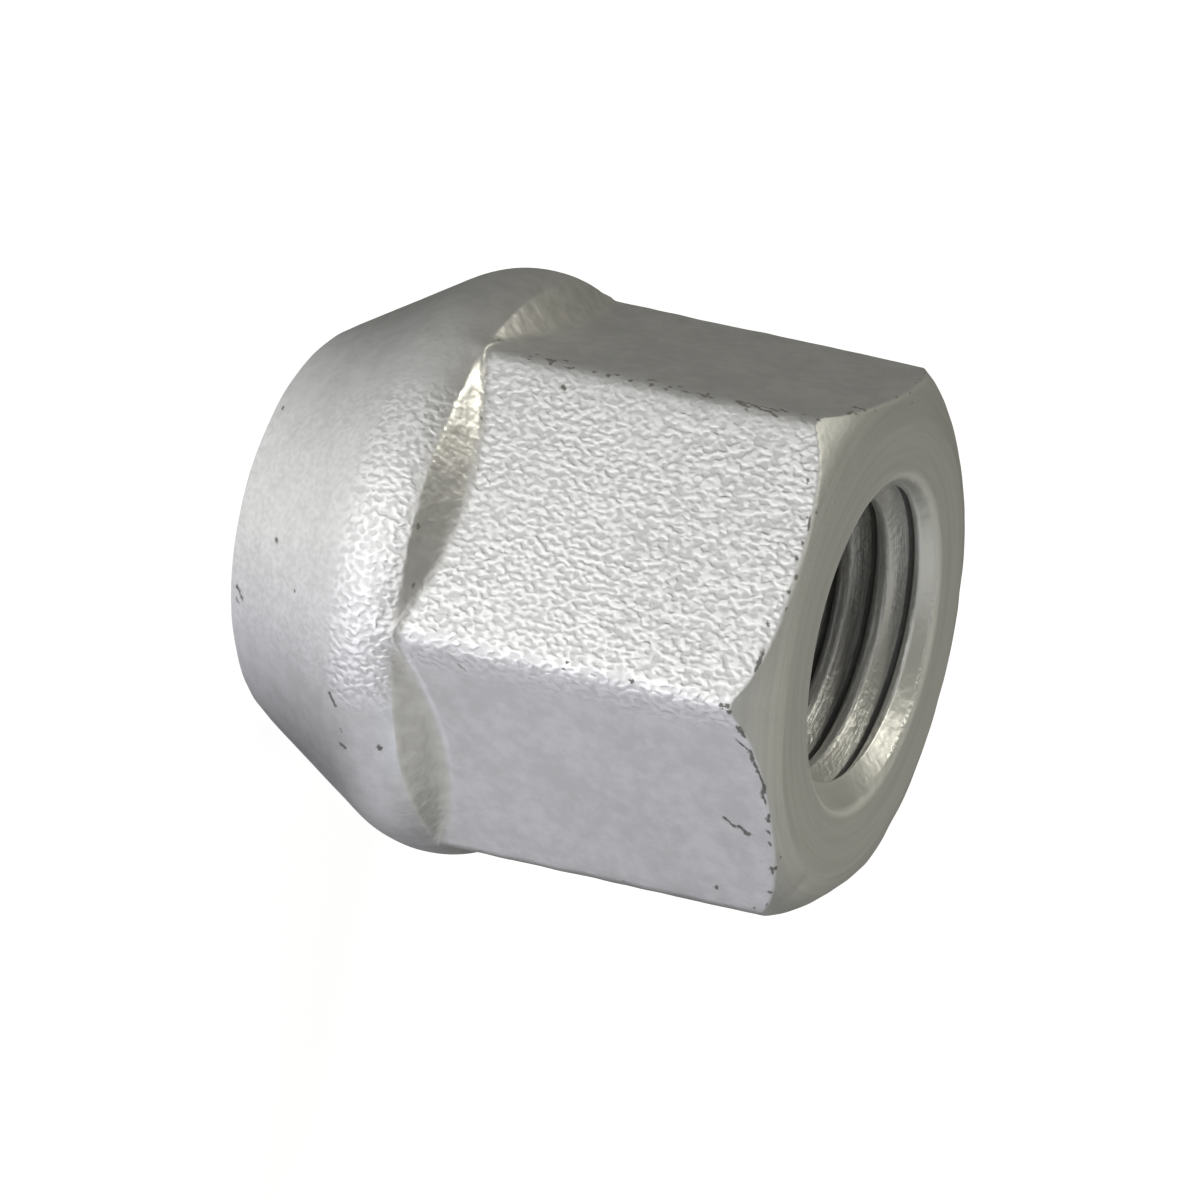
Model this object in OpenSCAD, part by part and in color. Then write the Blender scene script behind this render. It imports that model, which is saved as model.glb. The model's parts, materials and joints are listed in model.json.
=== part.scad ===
// Open-ended lug nut with a bulged collar and a conical seat, forged in one piece.
// It stands on its small end. The axis is Z, and the hexagon points up.

/* [Wrench hexagon] */
// Width across the flats at the foot of the hexagon, which is the wrench size
flats_w = 19; // [18:0.25:19.5]
// Draft of the forged flats, in degrees: the hexagon narrows towards its open end
flat_draft = 1; // [0:0.25:1.5]
// Radius of the six upright corners
corner_r = 0.9; // [0.4:0.1:1.4]
// Radius of the flat ring on the hexagon's end face, where the rounded crown begins
crown_start_r = 8.3; // [7.5:0.1:8.8]
// Radius of the crown that rounds the end face over to the corners
crown_r = 2.8; // [2.6:0.1:4]

/* [Seat and collar] */
// Diameter of the small end, measured to where the cone would meet the end face
seat_w = 15.1; // [14.5:0.1:15.6]
// Half-angle of the conical seat, in degrees: 30 makes a 60 degree seat
seat_angle = 30; // [28:0.5:32]
// Radius of the edge between the cone and the small end face
seat_edge_r = 0.6; // [0.3:0.1:0.9]
// Diameter of the bulged collar at its widest
collar_w = 22.2; // [22:0.1:23]
// Radius of the collar's crest, in section
crest_r = 3.8; // [3.2:0.1:4.2]
// Height of the collar's shoulder above its widest place, measured to the sharp edge
shoulder_rise = 1.4; // [1.2:0.1:1.8]
// Radius that rounds the edge of the shoulder
shoulder_r = 0.3; // [0.2:0.1:0.6]
// Steepness of the fall from the shoulder to the flats, in degrees from the axis
fall_angle = 52; // [48:1:60]
// Radius of the fillet at the foot of the fall
foot_r = 0.7; // [0.4:0.1:0.9]

/* [Length and bore] */
// Overall length
nut_l = 22.5; // [20:0.5:28]
// Outside diameter of the thread
thread_d = 12; // [11:1:12]
// Pitch of the thread
thread_pitch = 1.5; // [1:0.25:1.75]
// Diameter of the countersinks, where they meet the end faces
sink_w = 12.5; // [12.3:0.1:13]

/* [Hidden] */
$fn = 96;

// Bore: the thread's crests reach in by five eighths of its full vee
vee_angle = 60;
vee_h = thread_pitch / (2 * tan(vee_angle / 2));
bore_r = thread_d / 2 - 5 / 8 * vee_h;
// Countersinks at 90 degrees, so each is as deep as it is wide on one side
sink_r = sink_w / 2;
sink_depth = sink_r - bore_r;

// Seat: the edge circle touches the end face and the cone
seat_r = seat_w / 2;
seat_edge_x = seat_r - seat_edge_r * (1 - sin(seat_angle)) / cos(seat_angle);
seat_edge_end = [seat_edge_x + seat_edge_r * cos(seat_angle), seat_edge_r * (1 - sin(seat_angle))];

// Collar: the crest circle touches the cone and reaches the collar's full radius
crest_x = collar_w / 2 - crest_r;
crest_z = (cos(seat_angle) * (crest_x - seat_r) + crest_r) / sin(seat_angle);
cone_end = [crest_x + crest_r * cos(seat_angle), crest_z - crest_r * sin(seat_angle)];
shoulder = [crest_x + sqrt(pow(crest_r, 2) - pow(shoulder_rise, 2)), crest_z + shoulder_rise];

// Shoulder: its circle touches the crest circle from inside, and the straight fall
sharp_turn = asin(shoulder_rise / crest_r);
round_turn = fall_angle
    - acos((crest_r * cos(fall_angle - sharp_turn) - shoulder_r) / (crest_r - shoulder_r));
round_centre = [crest_x, crest_z] + (crest_r - shoulder_r) * [cos(round_turn), sin(round_turn)];
crest_end = [crest_x, crest_z] + crest_r * [cos(round_turn), sin(round_turn)];
fall_start = round_centre + shoulder_r * [cos(fall_angle), sin(fall_angle)];

// Foot: the fall ends just inside the flats, so that its fillet runs out into them
foot_sink = 0.03;
foot_x = flats_w / 2 - foot_sink;
foot_z = shoulder[1] + (shoulder[0] - foot_x) / tan(fall_angle);
fillet_z = foot_z + foot_r * tan(fall_angle / 2);
fillet_start = [foot_x + foot_r * (1 - cos(fall_angle)), fillet_z - foot_r * sin(fall_angle)];

// Hexagon: the angle from the middle of a flat to a corner, and half the width at foot and end
sides = 6;
half_side = 180 / sides;
half_foot = flats_w / 2;
half_end = half_foot - (nut_l - foot_z) * tan(flat_draft);
// Length of the bars that cross to make the hexagon
bar_l = 2 * flats_w;

// Corners: where the sharp one stands at the foot, and how far its line leans from upright
corner_x = half_foot / cos(half_side);
corner_slope = atan(tan(flat_draft) / cos(half_side));
// The corner circle stands this much nearer the corner than one that only touches the flats
corner_shift = 0.02;
corner_centre = corner_r / cos(half_side) - corner_shift;
// What is cut from a corner starts this deep, just inside the place where its circle begins
waste_depth = corner_centre - corner_r * cos(half_side) + corner_shift;
waste_w = 2 * corner_r;

// Room by which a cutting shape passes the surface that it cuts
clear = 1;

// Section of everything that was forged round: cone, crest, shoulder, fall and fillet
module collar_section() {
    polygon([[0, 0], [seat_edge_x, 0], seat_edge_end, cone_end, [crest_x, crest_z], [0, crest_z]]);
    translate([seat_edge_x, seat_edge_r]) circle(seat_edge_r);
    intersection() {
        translate([crest_x, crest_z]) circle(crest_r);
        translate([0, cone_end[1]]) square([collar_w / 2 + clear, crest_end[1] - cone_end[1]]);
    }
    translate(round_centre) circle(shoulder_r);
    difference() {
        polygon([[0, crest_z], [crest_x, crest_z], crest_end, fall_start, fillet_start,
                 [foot_x + foot_r, fillet_z], [0, fillet_z]]);
        translate([foot_x + foot_r, fillet_z]) circle(foot_r);
    }
}

module seat_and_collar() {
    rotate_extrude() collar_section();
}

// One pair of flats: a long wedge-sided bar across the nut, narrower at the top
module flat_pair() {
    rotate([90, 0, 0])
        linear_extrude(bar_l, center = true)
            polygon([[-half_foot, foot_z], [-half_end, nut_l], [half_end, nut_l], [half_foot, foot_z],
                     [half_foot, crest_z], [-half_foot, crest_z]]);
}

// What a forged corner lacks: the space outside its circle, along one sloping corner line
module corner_waste() {
    translate([corner_x, 0, foot_z])
        rotate([0, -corner_slope, 0])
            translate([0, 0, crest_z - foot_z - clear])
                linear_extrude(nut_l - crest_z + 2 * clear)
                    difference() {
                        translate([-waste_depth, -waste_w / 2]) square(waste_w);
                        translate([-corner_centre, 0]) circle(corner_r);
                    }
}

// Section that rounds the end face over to the corners
module crown_section() {
    square([crown_start_r, nut_l]);
    square([crown_start_r + crown_r, nut_l - crown_r]);
    translate([crown_start_r, nut_l - crown_r]) circle(crown_r);
}

module wrench_hexagon() {
    intersection() {
        flat_pair();
        rotate([0, 0, 2 * half_side]) flat_pair();
        rotate([0, 0, 4 * half_side]) flat_pair();
        rotate_extrude() crown_section();
    }
}

module bore() {
    translate([0, 0, -clear]) cylinder(h = nut_l + 2 * clear, r = bore_r);
    translate([0, 0, -clear]) cylinder(h = sink_depth + clear, r1 = sink_r + clear, r2 = bore_r);
    translate([0, 0, nut_l - sink_depth])
        cylinder(h = sink_depth + clear, r1 = bore_r, r2 = sink_r + clear);
}

module lug_nut() {
    color([0.74, 0.74, 0.72])
        difference() {
            union() {
                seat_and_collar();
                difference() {
                    wrench_hexagon();
                    for (corner = [0 : sides - 1])
                        rotate([0, 0, (2 * corner + 1) * half_side]) corner_waste();
                }
            }
            bore();
        }
}

lug_nut();
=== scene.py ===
# %% [markdown]
# # A wheel nut with a bulged collar and a conical seat
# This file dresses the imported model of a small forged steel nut. The solid model gives the
# sizes and stays as it is. Here the nut gets a finer mesh, with its screw thread, rounded
# edges and the slight unevenness of a forging, and then a zinc-flake coating made of nodes.
# The cells go from the frame to the shape, the finish, the studio and the camera.

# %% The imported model
import json
from math import atan, cos, degrees, pi, radians, sin, sqrt, tan

import bpy
import numpy as np
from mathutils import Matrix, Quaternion, Vector, noise


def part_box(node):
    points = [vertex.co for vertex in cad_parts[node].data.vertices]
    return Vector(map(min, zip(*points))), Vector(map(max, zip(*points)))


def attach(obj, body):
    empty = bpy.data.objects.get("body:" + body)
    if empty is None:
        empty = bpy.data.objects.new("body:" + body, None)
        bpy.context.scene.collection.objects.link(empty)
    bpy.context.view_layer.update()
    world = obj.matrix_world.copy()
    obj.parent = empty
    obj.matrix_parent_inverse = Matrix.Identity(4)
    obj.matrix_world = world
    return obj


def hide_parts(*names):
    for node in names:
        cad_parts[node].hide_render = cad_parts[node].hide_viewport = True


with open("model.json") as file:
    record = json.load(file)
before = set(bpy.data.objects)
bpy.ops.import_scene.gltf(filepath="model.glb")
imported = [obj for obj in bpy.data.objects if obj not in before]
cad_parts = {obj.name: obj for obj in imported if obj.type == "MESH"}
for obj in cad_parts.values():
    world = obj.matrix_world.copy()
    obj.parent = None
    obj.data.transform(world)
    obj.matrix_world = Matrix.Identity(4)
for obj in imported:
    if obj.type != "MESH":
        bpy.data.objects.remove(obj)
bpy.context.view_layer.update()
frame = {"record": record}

MM = 0.001
low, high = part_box("lug_nut")
length = (high.z - low.z) / MM
mounts = {mount["name"]: mount for mount in frame["record"]["mounts"]}
print("the nut is", round(length, 3), "mm long, with mounts", sorted(mounts))

# %% [markdown]
# ## The sizes of the nut
# A wheel nut is held by its cone, which centres it in the wheel, and turned by its hexagon.
# Between the two the metal bulges into a collar, wider than the hexagon's corners. The nut is
# forged cold in a die, so the flats lean in a little towards the open end, and every edge
# is round. All sizes are in millimetres. They are the ones that a drawing would give, and
# what touches what is worked out from them. The length and the bore come from the frame.

# %% Sizes that a drawing gives
collar_radius = 11.1
crest_radius = 3.8
seat_angle = radians(30)
seat_radius = 7.55
seat_edge = 0.6
shoulder_rise = 1.4
fall_angle = radians(52)
half_flats = 9.5
draft = radians(1)
corner_radius = 0.9
crown_start = 8.3
crown_radius = 2.8
sink_radius = 6.25
thread_minor = mounts["stud_thread"]["dims"]["r_mm"]
thread_major = 6.0
pitch = 1.5
print("thread:", thread_major * 2, "x", pitch, "mm, in a bore of radius", thread_minor, "mm")

# %% Places that follow from the sizes
seat_edge_middle = seat_radius - seat_edge * (1 - sin(seat_angle)) / cos(seat_angle)
crest_middle = collar_radius - crest_radius
crest_height = (cos(seat_angle) * (crest_middle - seat_radius) + crest_radius) / sin(seat_angle)
cone_top = crest_height - crest_radius * sin(seat_angle)
shoulder_height = crest_height + shoulder_rise
shoulder_radius = crest_middle + sqrt(crest_radius**2 - shoulder_rise**2)
foot_height = shoulder_height + (shoulder_radius - half_flats) / tan(fall_angle)
crown_middle = length - crown_radius
print("crest at", round(crest_height, 2), "mm, foot of the flats at", round(foot_height, 2), "mm")

# %% [markdown]
# ## The outer surface, as distances from the axis
# The outside could be a turned profile, joined to a prism by a Boolean modifier and then
# bevelled. But the crescents between the flats and the round collar fade out to nothing at
# their tips, and a bevel breaks up there. So the surface is worked out instead. Each part of
# it is a distance from the axis that depends on the height, and for the hexagon on the
# direction too. Where two parts meet, the larger or the smaller distance wins. A soft form
# of max and min does that with a rounded corner, as the forging die does, so no edge needs
# a bevel of its own afterwards.

# %% Distances from the axis
def soft_max(a, b, width):
    """The larger of two distances, with the corner between them rounded over this width."""
    near = np.maximum(width - np.abs(a - b), 0)
    return np.maximum(a, b) + near**2 / (4 * width)


def soft_min(a, b, width):
    """The smaller of two distances, rounded in the same way."""
    return -soft_max(-a, -b, width)


def collar(height):
    """The cone, the round crest of the collar and the steep fall to the flats."""
    cone = seat_radius + height * tan(seat_angle)
    crest = crest_middle + np.sqrt(np.maximum(crest_radius**2 - (height - crest_height) ** 2, 0))
    fall = half_flats + (foot_height - height) * tan(fall_angle)
    return soft_min(np.where(height < cone_top, cone, crest), fall, shoulder_softness)


def hexagon(turn, height):
    """The drafted flats and their round corners; turn is from the middle of a flat."""
    half = half_flats - (height - foot_height) * tan(draft)
    to_corner = pi / 6 - np.abs(turn)
    middle = (half - corner_radius) / cos(pi / 6)
    across = np.maximum(corner_radius**2 - (middle * np.sin(to_corner)) ** 2, 0)
    corner = middle * np.cos(to_corner) + np.sqrt(across)
    return np.where(np.abs(turn) < corner_turn, half / np.cos(turn), corner)


shoulder_softness = 0.08
corner_turn = atan((1 - corner_radius / half_flats) * tan(pi / 6))
corner_reach = float(hexagon(pi / 6, foot_height))
print("the hexagon's corners reach", round(corner_reach, 3), "mm from the axis")

# %% [markdown]
# ## Columns round the nut
# The mesh is a net of columns, which run along the nut, and rows, which run round it. Sixty
# degrees hold one flat and one corner, and the corner is only five degrees wide. Columns at
# even steps would leave it a bend with three faces, so they stand much closer together
# there. The same columns serve the thread inside.

# %% The columns
sides = 6
steps_on_flat = 30
steps_on_corner = 10
flat_turns = np.linspace(-corner_turn, corner_turn, steps_on_flat + 1)
corner_turns = np.linspace(corner_turn, pi / 3 - corner_turn, steps_on_corner + 1)[1:-1]
sector = np.concatenate([flat_turns, corner_turns])
columns = np.concatenate([sector + side * pi / 3 for side in range(sides)])
turns = (columns + pi / 6) % (pi / 3) - pi / 6
print(len(columns), "columns, closest", round(degrees(np.diff(columns).min()), 2), "degrees apart")

# %% [markdown]
# ## Rows over the outside
# Rows that simply followed the height would cut across the curved edges of the flats and
# leave them jagged. So each column first works out where its own edges lie: the
# foot of the flat, which swings down towards the corners, and the edge of the crown, which
# swings down there too. The rows are then shared out between these places, and every edge
# has a row that runs along it. A column is a list of radii and a list of heights.

# %% The foot of the flats and the edge of the crown, on every column
def foot_on(turn):
    """The height at which the collar's surface and the flat cross, found by halving."""
    lower = np.full_like(turn, crest_height + 0.5)
    upper = np.full_like(turn, foot_height + 0.1)
    for _ in range(halvings):
        middle = (lower + upper) / 2
        outside = collar(middle) > hexagon(turn, middle)
        lower, upper = np.where(outside, middle, lower), np.where(outside, upper, middle)
    return (lower + upper) / 2


def crown_edge_on(turn):
    """The middle of the little arc that joins the flat to the crown, settled in a few passes."""
    reach = crown_radius - crown_edge
    height = np.full_like(turn, length - 1)
    for _ in range(passes):
        radius = hexagon(turn, height) - crown_edge
        height = crown_middle + np.sqrt(reach**2 - (radius - crown_start) ** 2)
    return radius, height


halvings = 40
passes = 6
crown_edge = 0.28
foot_softness = 0.38
foot_half_width = 0.30
shoulder_half_width = 0.14
least_gap = 0.1
foot = foot_on(turns)
foot_start, foot_end = foot - foot_half_width, foot + foot_half_width
below_shoulder = np.minimum(shoulder_height - shoulder_half_width, foot_start - 2 * least_gap)
above_shoulder = np.minimum(shoulder_height + shoulder_half_width, foot_start - least_gap)
edge_radius, edge_height = crown_edge_on(turns)
print("foot from", round(foot.min(), 2), "to", round(foot.max(), 2), "mm high")

# %% Helpers that lay rows
def steps(start, end, count):
    """This many rows from start, up to but without end; each may differ between columns."""
    share = np.arange(count)[:, None] / count
    return start + (end - start) * share + 0 * turns


def arc(radius, height, size, start, end, count):
    """Rows along an arc; angles are from the outward direction, upwards."""
    angle = steps(start, end, count)
    return radius + size * np.cos(angle), height + size * np.sin(angle)


def along(heights):
    """Rows on the walls of the nut, where the collar or the hexagon stands out further."""
    body = soft_max(collar(heights), hexagon(turns, heights), foot_softness)
    return np.where(heights > crest_height, body, collar(heights)), heights


def on_plane(radii, height):
    """Rows on a flat end face."""
    return radii, np.full_like(radii, height)


# %% The rows of the outside, from the small end to the open end
lip = 0.3
lip_run = lip * tan(pi / 8)
lip_drop = lip_run * sin(pi / 4)
seat_edge_top = seat_edge * (1 - sin(seat_angle))
crown_turn = np.arctan2(edge_height - crown_middle, edge_radius - crown_start)
outer_rows = [
    arc(sink_radius + lip_run, lip, lip, -3 * pi / 4, -pi / 2, 3),
    on_plane(steps(sink_radius + lip_run, seat_edge_middle, 4), 0),
    arc(seat_edge_middle, seat_edge, seat_edge, -pi / 2, -seat_angle, 7),
    along(steps(seat_edge_top, cone_top, 18)),
    along(steps(cone_top, crest_height, 10)),
    along(steps(crest_height, below_shoulder, 7)),
    along(steps(below_shoulder, above_shoulder, 6)),
    along(steps(above_shoulder, foot_start, 7)),
    along(steps(foot_start, foot_end, 10)),
    along(steps(foot_end, edge_height, 44)),
    arc(edge_radius, edge_height, crown_edge, 0, crown_turn, 7),
    arc(crown_start, crown_middle, crown_radius, crown_turn, pi / 2, 9),
    on_plane(steps(crown_start, sink_radius + lip_run, 8), length),
    arc(sink_radius + lip_run, length - lip, lip, pi / 2, 3 * pi / 4, 3),
]
outer_radii = np.concatenate([radii for radii, heights in outer_rows])
outer_heights = np.concatenate([heights for radii, heights in outer_rows])
print(len(outer_radii), "rows over the outside")

# %% [markdown]
# ## The unevenness of a forging
# A forged face is never quite flat. It is pushed in here and there by scale in the die and
# by knocks in the barrel with thousands of other nuts. It could be sculpted, or come from a
# Displace modifier. Worked out on the points, it also knows where the edges are: smooth
# noise gives a slow wave over each face and smaller lumps, strongest along the edges. Metal
# is only ever pushed inwards, so the nut stays inside its true size, and the turned end
# faces stay flat.

# %% Helpers for uneven metal
def in_space(radii, heights):
    """Points from their distance from the axis and their height, one for each column."""
    x, y, z = radii * np.cos(columns), radii * np.sin(columns), heights + 0 * columns
    return np.stack([x, y, z], axis=-1)


def outward(points):
    """The outward direction at each point, from the rows and columns beside it."""
    around = np.roll(points, -1, axis=1) - np.roll(points, 1, axis=1)
    upward = np.gradient(points, axis=0)
    normal = np.cross(around, upward)
    return normal / np.linalg.norm(normal, axis=-1, keepdims=True)


def lumps(points, size, seed):
    """Smooth noise from 0 to 1 with lumps of about this size in millimetres."""
    flat = points.reshape(-1, 3) / size + seed
    values = [noise.noise(Vector(place)) for place in flat]
    return np.clip(0.5 + 0.5 * np.array(values).reshape(points.shape[:-1]), 0, 1)


def bump_over(distance, width):
    """1 on an edge, falling smoothly to 0 about this far from it."""
    return np.exp(-((distance / width) ** 2))


# %% Where the edges are
corner_band = 0.55
crown_band = 0.6
edge_band = 0.35
shoulder_share = 0.6
seat_share = 0.8
to_corner = (pi / 6 - np.abs(turns)) * half_flats
near_corner = bump_over(to_corner, corner_band) * (outer_heights > foot)
near_crown = bump_over(outer_heights - edge_height, edge_band)
near_crown = near_crown * bump_over(outer_radii - edge_radius, crown_band)
near_shoulder = bump_over(outer_heights - shoulder_height, edge_band) * (outer_heights < foot)
near_seat = bump_over(outer_heights - seat_edge_top, edge_band)
edges = near_corner + near_crown + shoulder_share * near_shoulder + seat_share * near_seat
edges = np.clip(edges, 0, 1)
open_end, small_end = outer_heights > length - 0.02, outer_heights < 0.001
turned = open_end | small_end
print(round(float(edges.mean()) * 100), "% of the points lie along an edge")

# %% Push the outside in a little
slow_wave = 0.05
small_lump = 0.02
edge_lump = 0.06
clearance = 0.004
points = in_space(outer_radii, outer_heights)
normals = outward(points)
push = slow_wave * lumps(points, size=5.0, seed=3.1)
push = push + small_lump * lumps(points, size=1.1, seed=8.7)
push = push + edge_lump * edges * lumps(points, size=0.9, seed=5.3)
points = points - normals * (clearance + push * (1 - turned))[..., None]
print("the forging is pushed in by up to", round(float(push.max()), 3), "mm")

# %% [markdown]
# ## Chips in the coat
# Nuts are tumbled together in bulk, and where they knock against each other the coat chips off,
# mostly along edges. The bigger chips are listed one by one, by their angle round the nut, their
# height and their size. A seeded random draw adds small ones along the upright corners, most of
# them crowded on one corner, and round the rim of the crown. They could be painted on a texture,
# but the nut would have to be unwrapped for it.
# A mask stored on the points of the mesh needs no unwrapping, and the material reads it.

# %% Chips listed one by one: azimuth in degrees, height and size
chips = [
    (34, 0.5, 0.15),
    (36, 0.9, 0.26),
    (38, 0.6, 0.13),
    (-16, 0.5, 0.17),
    (19, 2.4, 0.13),
    (27, 3.8, 0.17),
    (45.5, 6.0, 0.21),
    (47, 6.2, 0.13),
    (52, 6.5, 0.12),
    (55.5, 6.4, 0.21),
    (57, 6.3, 0.13),
    (54, 7.8, 0.23),
    (10, 8.7, 0.17),
    (21, 8.9, 0.12),
    (-34, 8.7, 0.17),
    (-16, 9.3, 0.12),
    (-25, 11.8, 0.14),
    (-29, 18.6, 0.15),
    (33.5, 11.0, 0.15),
    (62.5, 20.5, 0.08),
    (63.2, 20.7, 0.07),
    (64, 20.95, 0.08),
    (65, 21.15, 0.12),
    (83, 19.7, 0.17),
    (66, 21.4, 0.27),
    (12, 21.7, 0.16),
]
print(len(chips), "chips placed by hand")

# %% Small chips, drawn by chance
dice = np.random.default_rng(7)
chips_on_corners = 50
chips_on_crowded_corner = 45
chips_on_rim = 60
chips_on_knocked_rim = 25
corner_azimuths = [-30, -30, -30, 30, 90, 150, 210, 270]
crowded_corner_azimuth = -30.6
for _ in range(chips_on_corners):
    azimuth = dice.choice(corner_azimuths) + dice.normal(0, 1.2)
    chips.append((azimuth, dice.uniform(9.5, 21.3), dice.uniform(0.07, 0.16)))
# Many small chips crowd along one corner, darkening it.
for _ in range(chips_on_crowded_corner):
    azimuth = crowded_corner_azimuth + dice.normal(0, 0.5)
    chips.append((azimuth, dice.uniform(9.7, 21.3), dice.uniform(0.06, 0.12)))
for draw in range(chips_on_rim + chips_on_knocked_rim):
    azimuth = dice.uniform(-180, 180) if draw < chips_on_rim else dice.uniform(28, 78)
    rim_height = np.interp(radians(azimuth), columns, edge_height, period=2 * pi)
    chips.append((azimuth, rim_height + dice.normal(0.05, 0.12), dice.uniform(0.06, 0.13)))
print(len(chips), "chips in all")

# %% Masks on the points: chips, crescent hollows and crown
def nearest_point(azimuth, height):
    """The point of the outer mesh nearest to this place; the end faces count as 1 mm further."""
    apart = (columns - radians(azimuth) + pi) % (2 * pi) - pi
    distance = np.hypot(outer_radii * apart, outer_heights - height) + (outer_radii < seat_radius)
    return points.reshape(-1, 3)[distance.argmin()]


def ramp(distance, width):
    """0 up to an edge, and 1 from this far past it."""
    return np.clip(distance / width, 0, 1)


chipped = np.zeros(outer_radii.shape)
for chip_azimuth, chip_height, chip_size in chips:
    away = np.linalg.norm(points - nearest_point(chip_azimuth, chip_height), axis=-1)
    chipped = np.maximum(chipped, bump_over(away, chip_size))
below_hollow = 0.35
above_hollow = 0.3
hollow_fade = 0.4
crown_fade = 0.2
in_hollow = ramp(outer_heights - shoulder_height + below_hollow, hollow_fade)
in_hollow = in_hollow * ramp(foot + above_hollow - outer_heights, hollow_fade)
on_crown = ramp(outer_heights - edge_height, crown_fade)
print(round(float(chipped.mean()) * 100, 2), "% of the points are chipped")

# %% [markdown]
# ## The screw thread
# The stud screws into a right-hand M12 thread of 1.5 mm pitch. Its section is a row of 60
# degree vees with narrow flats at root and crest. A Screw modifier could wind it and a
# Boolean cut it, which leaves torn faces where the thread runs out. Here the rows inside the
# bore are helices instead: every row keeps its own place in the vee and climbs by one pitch
# in a turn, so the edges of the thread are clean all the way round. Twelve rows make a turn,
# close together where the flats meet the flanks. At both ends the thread runs out into a
# countersink, where the larger distance from the axis wins. The root's height is that of the
# last root below the open end, on the side of -X, and sets where the thread starts.

# %% Rows inside the bore
def vee(share):
    """The thread's distance from the axis; share is 0 at a root and a half at a crest."""
    off_root = pitch * np.abs((share + 0.5) % 1 - 0.5)
    flank = thread_major - (off_root - pitch / 16) / tan(pi / 6)
    return soft_max(soft_min(flank, thread_major, vee_softness), thread_minor, vee_softness)


vee_softness = 0.06
runout_softness = 0.08
shares = np.array([0, 0.05, 0.09, 0.225, 0.35, 0.40, 0.5, 0.60, 0.65, 0.775, 0.91, 0.95])
root_height = 21.26
top = length - lip_drop
bottom = lip_drop
turns_down = int(root_height / pitch) + 2
turns_up = 3
bore_shares = np.concatenate([shares + turn for turn in range(-turns_down, turns_up)])
climb = (columns - pi) / (2 * pi)
bore_heights = root_height + pitch * (climb + bore_shares[:, None])
countersink = sink_radius - np.minimum(bore_heights, length - bore_heights)
bore_radii = soft_max(vee(bore_shares)[:, None] + 0 * climb, countersink, runout_softness)
print(len(bore_shares), "helical rows,", len(shares), "to a turn")

# %% [markdown]
# ## One closed skin
# The outside ends at a ring round each mouth of the bore, and the bore starts from the same
# rings. A helical row that climbs past the mouth ends on the ring, so some four-sided faces
# shrink to triangles there, and those that vanish are left out. At the seam a bore
# row meets the row one turn further on. The result is one closed surface with no gap.

# %% The points of the skin
column_count = len(columns)
outer_count = len(outer_radii) * column_count
first_bore = outer_count + column_count
ring = in_space(sink_radius - lip_drop, top)
bore = in_space(bore_radii, bore_heights)
everything = np.concatenate([points.reshape(-1, 3), ring, bore.reshape(-1, 3)])
print(len(everything), "points, with those of rows that run past a mouth")

# %% Join the outside and the bore
def bore_vertex(row, column):
    """The number of a vertex of the bore, or of the ring where the row has passed a mouth."""
    height = bore_heights[row, column]
    if height >= top:
        return outer_count + column
    if height <= bottom:
        return column
    return first_bore + row * column_count + column


faces = []
for row in range(len(outer_radii)):
    for column in range(column_count):
        beside = (column + 1) % column_count
        here, there = row * column_count + column, row * column_count + beside
        faces.append((here, there, there + column_count, here + column_count))
last_pair = len(bore_shares) - 2
for row in range(len(bore_shares) - 1):
    for column in range(column_count):
        beside = (column + 1) % column_count
        ahead = min(row + len(shares), last_pair) if beside == 0 else row
        corners = (
            bore_vertex(row, column),
            bore_vertex(row + 1, column),
            bore_vertex(ahead + 1, beside),
            bore_vertex(ahead, beside),
        )
        kept = tuple(dict.fromkeys(corners))
        if len(kept) > 2:
            faces.append(kept)
print(len(faces), "faces before the loose points are dropped")

# %% The mesh of the nut
def smooth_mesh(name, vertices, faces):
    """A mesh object in metres with smooth shading, from millimetres; loose points are dropped."""
    used = sorted({corner for face in faces for corner in face})
    number = {old: new for new, old in enumerate(used)}
    places = [tuple(vertices[old] * MM) for old in used]
    mesh = bpy.data.meshes.new(name)
    mesh.from_pydata(places, [], [[number[corner] for corner in face] for face in faces])
    mesh.validate()
    mesh.shade_smooth()
    piece = bpy.data.objects.new(name, mesh)
    bpy.context.scene.collection.objects.link(piece)
    return piece, used


def paint_points(piece, name, values, used):
    """Stores one number for each point of the mesh, which the material can read by this name."""
    layer = piece.data.attributes.new(name, "FLOAT", "POINT")
    layer.data.foreach_set("value", values[used].astype(np.float32))


nut, used = smooth_mesh("forged_nut", everything, faces)
blank = np.zeros(len(everything) - outer_count)
for mask_name, mask in (("chip", chipped), ("hollow", in_hollow), ("crown", on_crown)):
    paint_points(nut, mask_name, np.concatenate([mask.ravel(), blank]), used)
triangles = sum(len(face.vertices) - 2 for face in nut.data.polygons)
print(len(nut.data.vertices), "points and", triangles, "triangles")

# %% [markdown]
# ## Sums that build nodes
# A material in Blender is a net of nodes. Written link by link it is hard to read, so this
# small class wraps a socket, and ordinary sums on it add the Math nodes. Everything else, such
# as noise or a ramp of colours, comes from one method that takes the kind of node, its
# settings and what goes into it.

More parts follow.
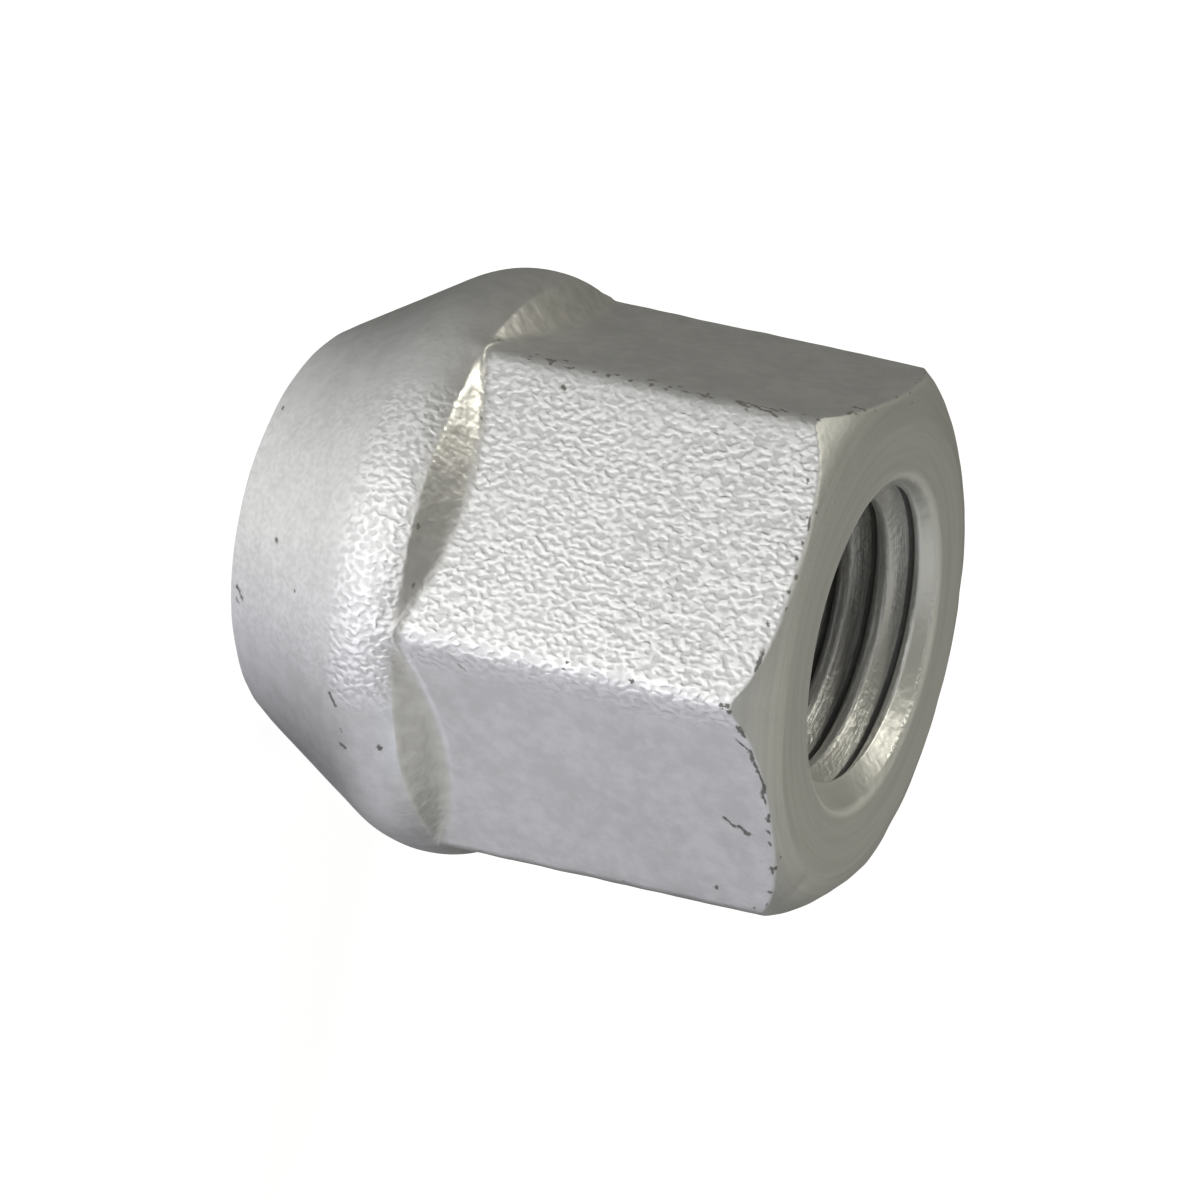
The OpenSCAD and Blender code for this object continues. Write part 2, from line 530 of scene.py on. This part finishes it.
# %% A value on its way through a material
class Wire:
    """A socket of a node tree. Sums and products of wires and numbers are Math nodes."""

    def __init__(self, tree, socket):
        self.tree = tree
        self.socket = socket

    def add(self, kind, settings, inputs, output=0):
        """A new node of this kind, with its settings made first; returns one of its outputs."""
        node = self.tree.nodes.new(kind)
        for name, value in settings.items():
            setattr(node, name, value)
        for name, value in inputs.items():
            if isinstance(value, Wire):
                self.tree.links.new(value.socket, node.inputs[name])
            else:
                node.inputs[name].default_value = value
        return Wire(self.tree, node.outputs[output])

    def math(self, operation, *values):
        return self.add("ShaderNodeMath", {"operation": operation}, dict(enumerate(values)))

    def __add__(self, other):
        return self.math("ADD", self, other)

    def __sub__(self, other):
        return self.math("SUBTRACT", self, other)

    def __rsub__(self, other):
        return self.math("SUBTRACT", other, self)

    def __mul__(self, other):
        return self.math("MULTIPLY", self, other)

    def __truediv__(self, other):
        return self.math("DIVIDE", self, other)

    def __pow__(self, other):
        return self.math("POWER", self, other)

    def __abs__(self):
        return self.math("ABSOLUTE", self)

    __radd__ = __add__
    __rmul__ = __mul__

    def root(self):
        return self.math("SQRT", self)

    def larger(self, other):
        return self.math("MAXIMUM", self, other)

    def smaller(self, other):
        return self.math("MINIMUM", self, other)

    def at_least(self, least):
        """This mask squeezed, so that it runs from least to 1 and not from 0 to 1."""
        return self * (1 - least) + least

    def rise(self, start, end):
        """0 below start and 1 above end, with a smooth rise between them."""
        settings = {"interpolation_type": "SMOOTHSTEP"}
        inputs = {"Value": self, "From Min": start, "From Max": end}
        return self.add("ShaderNodeMapRange", settings, inputs)

    def noise(self, scale, detail=2.0, roughness=0.5, distortion=0.0):
        inputs = {"Vector": self, "Scale": scale, "Detail": detail, "Roughness": roughness}
        return self.add("ShaderNodeTexNoise", {}, {**inputs, "Distortion": distortion})

    def stretch(self, x, y, z):
        """This place with each axis scaled, for noise that runs one way."""
        return self.add("ShaderNodeVectorMath", {"operation": "MULTIPLY"}, {0: self, 1: (x, y, z)})

    def mix(self, first, second):
        """The first colour where this mask is 0 and the second where it is 1."""
        colours = {"data_type": "RGBA"}
        return self.add("ShaderNodeMix", colours, {0: self, 6: first, 7: second}, output=2)

    def part(self, axis):
        return self.add("ShaderNodeSeparateXYZ", {}, {0: self}, output=axis)


# %% A new material, and values for its shader
def new_material(name):
    """A material with nothing but its shader; returns it, the shader and a wire to build from."""
    material = bpy.data.materials.new(name)
    material.use_nodes = True
    shader = material.node_tree.nodes["Principled BSDF"]
    return material, shader, Wire(material.node_tree, shader.outputs[0])


def feed(shader, **values):
    """Links wires to the shader's sockets and sets numbers on them."""
    for name, value in values.items():
        socket = shader.inputs[name.replace("_", " ")]
        if isinstance(value, Wire):
            value.tree.links.new(value.socket, socket)
        else:
            socket.default_value = value


# %% Places round the axis of the nut
def from_axis(place):
    """How far this place is from the axis."""
    return (place.part(0) ** 2 + place.part(1) ** 2).root()


def towards(place, azimuth):
    """1 on the side of the axis at this azimuth, in degrees, and -1 on the far side."""
    along_line = place.part(0) * cos(radians(azimuth)) + place.part(1) * sin(radians(azimuth))
    return along_line / from_axis(place)


# %% [markdown]
# ## The zinc-flake coating
# Nuts like this are dipped in a paint of zinc and aluminium flakes and baked. The coat is a
# dull silver grey, and it isn't the same all over. On the forged walls it dries in a fine
# grain, in the crescent hollows and the countersinks it runs together into a smooth smear,
# and on the end faces and in the thread it shows the lines of the cutting tool below. So
# the first step is a set of masks, which say what kind of metal lies under the coat.

# %% Where the coat is on forged, turned or threaded metal
coat, coat_shader, coat_start = new_material("zinc_flake_coat")


def painted(name):
    """The mask that was stored on the points of the mesh under this name."""
    return coat_start.add("ShaderNodeAttribute", {"attribute_name": name}, {}, output="Fac")


in_metres = coat_start.add("ShaderNodeTexCoord", {}, {}, output="Object")
place = in_metres.stretch(1 / MM, 1 / MM, 1 / MM)
radius = from_axis(place)
height = place.part(2)
depth = height.smaller(length - height)
turned_face = 1 - depth.rise(0.01, 0.03)
inside = 1 - radius.rise(thread_major + 0.02, thread_major + 0.08)
below_sink = (radius + depth).rise(sink_radius + 0.05, sink_radius + 0.15)
sink = (1 - radius.rise(sink_radius - 0.04, sink_radius + 0.12)) * (1 - below_sink)
threaded = inside * below_sink
groove = threaded * radius.rise(thread_major - 0.08, thread_major - 0.02)
hollow = painted("hollow")
crown = painted("crown")
on_end = (turned_face + crown).smaller(1) * (1 - inside)
print("masks for end faces, countersinks, thread, hollows and crown")

# %% [markdown]
# ## The wormy grain
# On forged metal the coat dries in a fine grain of short crooked worms, about a third of a
# millimetre apart. The worms are strong on two opposite sides and faint on the others, and on
# those sides the colour also paints a highlight on their tops. They are too fine for the mesh, so
# they are a bump.
# Noise without detail, cut off at both ends, gives the worms; it is stretched a little along
# the nut. The cone has only a little of the grain, and where the coat ran together there
# is a soft mottle instead.

# %% Worms, mottle and fine noise
grain_azimuth_on_flats = 3
grain_azimuth_on_collar = 14
least_grain = 0.12
grain_on_cone = 0.35
on_flats = height.rise(8.2, 8.9)
facing = towards(place, grain_azimuth_on_flats) * on_flats
facing = facing + towards(place, grain_azimuth_on_collar) * (1 - on_flats)
# The sides where the grain is strong, and where the worm tops get a painted highlight.
grain_sides = abs(facing).rise(0.81, 0.90) * (1 - hollow * 0.9) * (1 - crown * 0.9) * (1 - inside)
patches = place.noise(scale=0.4, detail=2.0)
calm = patches.rise(0.30, 0.50).at_least(0.7)
cone_calm = height.rise(5.7, 6.3).at_least(grain_on_cone)
worms = place.stretch(1, 1, 0.8).noise(scale=5.0, detail=0.0, distortion=0.3).rise(0.22, 0.78)
grain = worms * calm * cone_calm * grain_sides.at_least(least_grain) * (1 - turned_face)
fine = place.noise(scale=6.0, detail=2.0)
mottle = place.noise(scale=1.7, detail=1.0)
smeared = hollow + sink * 0.9 + crown * 0.4 + (1 - cone_calm) * (1 - turned_face) * 0.7
print("the coat has", len(coat.node_tree.nodes), "nodes so far")

# %% [markdown]
# ## Marks of the cutting tools
# The end faces were turned and the thread was cut, and both tools leave fine lines that run
# round the axis. They are far too shallow to be worth cutting into the mesh. Noise gives
# them when its place is made of the distance from the axis and the height, with hardly any
# change on the way round. A thin crust of coat lies over the lines in the thread. All of it
# adds up to one relief, which is a bump in the material.

# %% Tool marks and the whole relief
relief_height = 0.031 * MM
rings = coat_start.add("ShaderNodeCombineXYZ", {}, {0: radius * 5, 1: facing * 1.5, 2: height * 5})
tool_marks = rings.noise(scale=1.0, detail=3.0, roughness=0.6).rise(0.3, 0.7)
cut_lines = rings.noise(scale=2.4, detail=3.0, roughness=0.7)
crust = place.noise(scale=3.6, detail=1.0)
relief = grain + fine * 0.12 + mottle * smeared * 1.2 + threaded * (cut_lines * 0.9 + crust * 1.3)
bump_inputs = {"Strength": 1.0, "Distance": relief_height, "Height": relief}
coat_bump = coat_start.add("ShaderNodeBump", {}, bump_inputs)
print("the relief is", round(relief_height / MM, 3), "mm for each step of 1")

# %% [markdown]
# ## Colour, gloss and chips
# The tops of the worms are paler and glossier than the coat between them. The gloss is from
# rubbing, and the paler colour is a painted highlight. The smears in the hollows are a little
# warmer and lighter, a painted warm light, and the end faces darker. The roots of the thread are
# nearly black, a painted shade with oil and dust in it. Each of these is a pair of greys, mixed by
# one of the patterns above. A chip shows dark bare steel. Its mask is added to a ragged noise and
# cut off, so that its outline is torn and not round.

# %% Colours of the coat
flat_greys = (0.58, 0.58, 0.575, 1), (0.67, 0.67, 0.665, 1)
worm_highlight_greys = (0.56, 0.56, 0.555, 1), (0.76, 0.76, 0.755, 1)
end_greys = (0.51, 0.51, 0.49, 1), (0.57, 0.57, 0.55, 1)
hollow_light_greys = (0.61, 0.605, 0.58, 1), (0.68, 0.675, 0.65, 1)
thread_greys = (0.42, 0.42, 0.41, 1), (0.58, 0.58, 0.565, 1)
sink_highlight_grey = (0.69, 0.69, 0.66, 1)
mouth_highlight_grey = (0.66, 0.66, 0.63, 1)
groove_shade_grey = (0.09, 0.09, 0.088, 1)
steel_grey = (0.22, 0.215, 0.20, 1)

# %% Colour over the surface
ragged = place.noise(scale=4.0, detail=5.0, roughness=0.75)
bare_steel = (painted("chip") * 0.9 + ragged * 1.6).rise(1.35, 1.58)
speckle = (patches + mottle + fine * 0.5).rise(0.90, 1.60)
# On those sides the worm tops are painted paler, as a painted highlight.
walls = (grain_sides * cone_calm).mix(speckle.mix(*flat_greys), worms.mix(*worm_highlight_greys))
# The hollows take warmer, lighter greys: a painted warm light.
forged = hollow.mix(walls, mottle.rise(0.35, 0.65).mix(*hollow_light_greys))
# The countersinks take a lighter grey: a painted highlight.
dull = sink.mix(on_end.mix(forged, tool_marks.mix(*end_greys)), sink_highlight_grey)
# Near each mouth the thread is painted lighter: a painted highlight where the light comes in.
mouth = 1 - depth.rise(0.8, 3.2)
thread_colour = mouth.mix(cut_lines.rise(0.35, 0.65).mix(*thread_greys), mouth_highlight_grey)
# The roots of the thread are painted nearly black: a painted shade, with some oil and dust.
coated = groove.mix(threaded.mix(dull, thread_colour), groove_shade_grey)
colour = bare_steel.mix(coated, steel_grey)
print("the colour takes the coat to", len(coat.node_tree.nodes), "nodes")

# %% Gloss, and the finished coat
lip_edge = (1 - abs(radius - sink_radius).rise(0.10, 0.24)) * (1 - depth.rise(0.20, 0.40))
roughness = 0.44 - grain * 0.10 + bare_steel * 0.2 + crown * 0.12 - hollow * 0.03 + lip_edge * 0.2
feed(
    coat_shader,
    Base_Color=colour,
    Metallic=0.6 - bare_steel * 0.3 - groove * 0.4,
    Roughness=roughness,
    Normal=coat_bump,
)
nut.data.materials.append(coat)
print("the coat has", len(coat.node_tree.nodes), "nodes")

# %% [markdown]
# ## The nut takes its place in the model
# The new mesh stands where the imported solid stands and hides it. It rides on the one body.

# %% Ride on the frame
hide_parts("lug_nut")
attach(nut, "root")
print(nut.name, "rides on root and stands for lug_nut")

# %% [markdown]
# ## A plain white table
# The nut stands on its small end on a white table. Lamps alone would make a white table grey
# unless they were too strong for the nut. So it glows, but only for the rays that show it to
# the camera or in the shine of the metal; its own colour adds a little light and keeps the
# shadow.

# %% The table
table_radius = 0.6
table_sides = 64
table_glow = 0.89
white = (1, 1, 1, 1)
table_turns = [turn * 2 * pi / table_sides for turn in range(table_sides)]
table_mesh = bpy.data.meshes.new("table")
rim = [(table_radius * cos(turn), table_radius * sin(turn), 0) for turn in table_turns]
table_mesh.from_pydata(rim, [], [range(table_sides)])
table = bpy.data.objects.new("table", table_mesh)
bpy.context.scene.collection.objects.link(table)


def seen_rays(wire):
    """1 for the rays that show a surface to the camera, in metal or through glass, else 0."""
    names = ("Is Camera Ray", "Is Glossy Ray", "Is Transmission Ray")
    rays = [wire.add("ShaderNodeLightPath", {}, {}, output=name) for name in names]
    return rays[0].larger(rays[1]).larger(rays[2])


white_paint, paint_shader, paint_start = new_material("white_table")
feed(
    paint_shader,
    Base_Color=(0.5, 0.5, 0.5, 1),
    Roughness=0.9,
    Emission_Color=white,
    Emission_Strength=seen_rays(paint_start) * table_glow,
)
table_mesh.materials.append(white_paint)
print("the table is", 2 * table_radius, "m across")

# %% [markdown]
# ## A white room
# The world round the table is white too, where it is seen. As a light it counts only a
# quarter, so that the lamps keep their say over the shape of the nut.

# %% The room
room_light = 0.25
world = bpy.data.worlds.new("room")
bpy.context.scene.world = world
world.use_nodes = True
background = world.node_tree.nodes["Background"]
air = Wire(world.node_tree, background.outputs[0])
background.inputs["Color"].default_value = white
strength = seen_rays(air).at_least(room_light)
world.node_tree.links.new(strength.socket, background.inputs["Strength"])
print("the room is white where it is seen, and lights at", room_light)

# %% [markdown]
# ## Cards and a graduated sheet
# In an all-white room dull metal looks like chalk, because each face reflects the same white.
# The remedy in a studio is a graduated sheet on the table, white in front of the nut and dark
# behind it, with grey screens all round. Each face then takes the grey of what it looks at.
# The sheet and screens are hidden from the camera and throw no shadow. Their light varies
# through the colour of the emission, from black to white, at one constant strength.

# %% The cards
room_radius = 0.5
card_steps = 48
dome_steps = 8


def card(name, colour, first_azimuth, last_azimuth, rims):
    """A sheet that bends round the nut; each rim is a (radius, height) pair in metres."""
    angles = np.linspace(radians(first_azimuth), radians(last_azimuth), card_steps + 1)
    wide = len(angles)
    bends = [(cos(angle), sin(angle)) for angle in angles]
    corners = [(size * x, size * y, rise) for size, rise in rims for x, y in bends]
    starts = [rim * wide + step for rim in range(len(rims) - 1) for step in range(wide - 1)]
    mesh = bpy.data.meshes.new(name)
    mesh.from_pydata(corners, [], [(i, i + 1, i + 1 + wide, i + wide) for i in starts])
    paper, paper_shader, start = new_material(name)
    feed(paper_shader, Base_Color=(*colour, 1), Roughness=1.0, Specular_IOR_Level=0.0)
    mesh.materials.append(paper)
    piece = bpy.data.objects.new(name, mesh)
    bpy.context.scene.collection.objects.link(piece)
    piece.visible_camera = False
    piece.visible_shadow = False
    return piece, paper_shader, start


def dome(size, first_elevation, last_elevation):
    """The (radius, height) pairs of a sheet that bends over the nut like a dome."""
    climb = np.linspace(radians(first_elevation), radians(last_elevation), dome_steps + 1)
    return [(size * cos(angle), size * sin(angle)) for angle in climb]


screen_top = 42
screen_grey = (0.17, 0.17, 0.15)
ceiling_grey = (0.26, 0.26, 0.225)
card("grey_screen", screen_grey, 60, 330, dome(room_radius, 0, screen_top))
card("grey_ceiling", ceiling_grey, -180, 180, dome(room_radius, screen_top, 88))
print("grey cards stand", room_radius, "m from the nut")

# %% [markdown]
# ## The graduated sheet
# The sheet is a flat ring on the table, from just under the edge of the small end to the screens.
# It has two patterns. Far out it is white in front, with a smaller patch of cool light on one
# side, and dark behind. Close to the nut, within about two centimetres, it has a softer fall of
# its own, darker away from the front: a painted shadow of the nut, which is what the cone mirrors.

# %% The graduated sheet
sheet_hole = 0.0073
sheet_lift = 0.0002
black_paper = (0, 0, 0)
black = (0, 0, 0, 1)
cool_white = (0.94, 0.93, 1, 1)
sheet_rims = [(sheet_hole, sheet_lift), (room_radius, sheet_lift)]
sheet, sheet_shader, sheet_start = card("graduated_sheet", black_paper, -180, 180, sheet_rims)
sheet.visible_diffuse = False
where = sheet_start.add("ShaderNodeTexCoord", {}, {}, output="Object")
front = towards(where, 23)
white_side = front.rise(-0.10, 0.75) + front.rise(0.80, 1.0) * 1.35
cool_side = towards(where, 92).rise(0.78, 0.99) * 0.87
far_light = white_side.larger(cool_side) + 0.08
near_side = towards(where, 15).larger(0)
shadow_zone_light = near_side * near_side * 1.35 + 0.10
# Within about two centimetres of the axis the light of the sheet drops: a painted shadow of the
# nut.
nut_shadow_zone = 1 - from_axis(where).rise(0.011, 0.024)
light = far_light + nut_shadow_zone * (shadow_zone_light - far_light)
tint = towards(where, 92).rise(0.2, 0.8).mix(white, cool_white)
brightest = 2.5
sheet_colour = (light / brightest).mix(black, tint)
feed(sheet_shader, Emission_Color=sheet_colour, Emission_Strength=brightest)
print("the sheet runs from", sheet_hole / MM, "to", room_radius / MM, "mm from the axis")

# %% [markdown]
# ## A pale screen
# One more screen stands inside the grey one. It glows, palest in its middle, and fades to both
# sides, and gives the upright side that looks that way an even sheen.

# %% The pale screen
pale_radius = 0.49
warm_white = (1, 1, 0.99, 1)
pale_rims = dome(pale_radius, 0, 66)
screen, screen_shader, screen_start = card("pale_screen", black_paper, 40, 170, pale_rims)
screen.visible_diffuse = False
where = screen_start.add("ShaderNodeTexCoord", {}, {}, output="Object")
glow = towards(where, 96).rise(0.55, 0.93) * 0.76 + 0.05
screen_colour = glow.mix(black, warm_white)
feed(screen_shader, Emission_Color=screen_colour, Emission_Strength=1.0)
print("the pale screen stands", pale_radius, "m from the nut")

# %% [markdown]
# ## Soft lamps
# Dull metal shows its form by how its faces turn from one broad lamp. A point lamp or a sun
# would give hard bright spots on the coat, so all the lamps are square areas. The left one
# is far stronger than the others; they only open up the shadows.

# %% Lamps
def direction(azimuth, elevation):
    """The unit vector towards this azimuth, counted from +X, and elevation, in degrees."""
    a, e = radians(azimuth), radians(elevation)
    return Vector((cos(a) * cos(e), sin(a) * cos(e), sin(e)))


def lamp(name, azimuth, elevation, power, colour):
    """A square area lamp that looks at the middle of the nut."""
    light = bpy.data.lights.new(name, "AREA")
    light.size = lamp_size
    light.energy = power
    light.color = colour
    holder = bpy.data.objects.new(name, light)
    bpy.context.scene.collection.objects.link(holder)
    away = direction(azimuth, elevation)
    holder.location = middle_of_nut + away * lamp_distance
    holder.rotation_mode = "QUATERNION"
    holder.rotation_quaternion = away.to_track_quat("Z", "Y")
    holder.visible_camera = False
    return holder


lamp_distance = 0.35
lamp_size = 0.12
warm, cool, neutral = (1, 0.98, 0.87), (0.72, 0.78, 1), (1, 1, 1)
middle_of_nut = Vector((0, 0, length / 2 * MM))
lamps = [
    lamp("left", -67, 42, 0.52, warm),
    lamp("cool_side", 90, 4, 0.07, cool),
    lamp("front", 15, 5, 0.08, neutral),
    lamp("behind", 178, 42, 0.07, warm),
    lamp("behind_high", 150, 70, 0.08, warm),
]
print("lamps:", [holder.name for holder in lamps])

# %% [markdown]
# ## The camera
# A long lens looks down at the nut from beyond its hexagon end. From further away the sides
# of a small part stay nearly parallel, as on a drawing. The camera is rolled on its side, so
# the nut seems to lie, while it stands on its small end as the model does.

# %% Camera
camera_azimuth = 12.45
camera_elevation = 22.28
camera_roll = radians(102.41)
camera_distance = 0.1744
lens_length = 141.7
film_width = 36
aim = middle_of_nut + Vector((-0.243, 0.496, 0.318)) * MM
camera = bpy.data.objects.new("camera", bpy.data.cameras.new("camera"))
bpy.context.scene.collection.objects.link(camera)
back = direction(camera_azimuth, camera_elevation)
camera.location = aim + back * camera_distance
camera.rotation_mode = "QUATERNION"
camera.rotation_quaternion = back.to_track_quat("Z", "Y") @ Quaternion((0, 0, 1), camera_roll)
camera.data.sensor_width = film_width
camera.data.lens = lens_length
camera.data.clip_start = 0.01
camera.data.clip_end = 10
bpy.context.scene.camera = camera
bpy.context.scene.view_settings.view_transform = "Standard"
print("the camera is", camera_distance, "m away, with a lens of", lens_length, "mm")
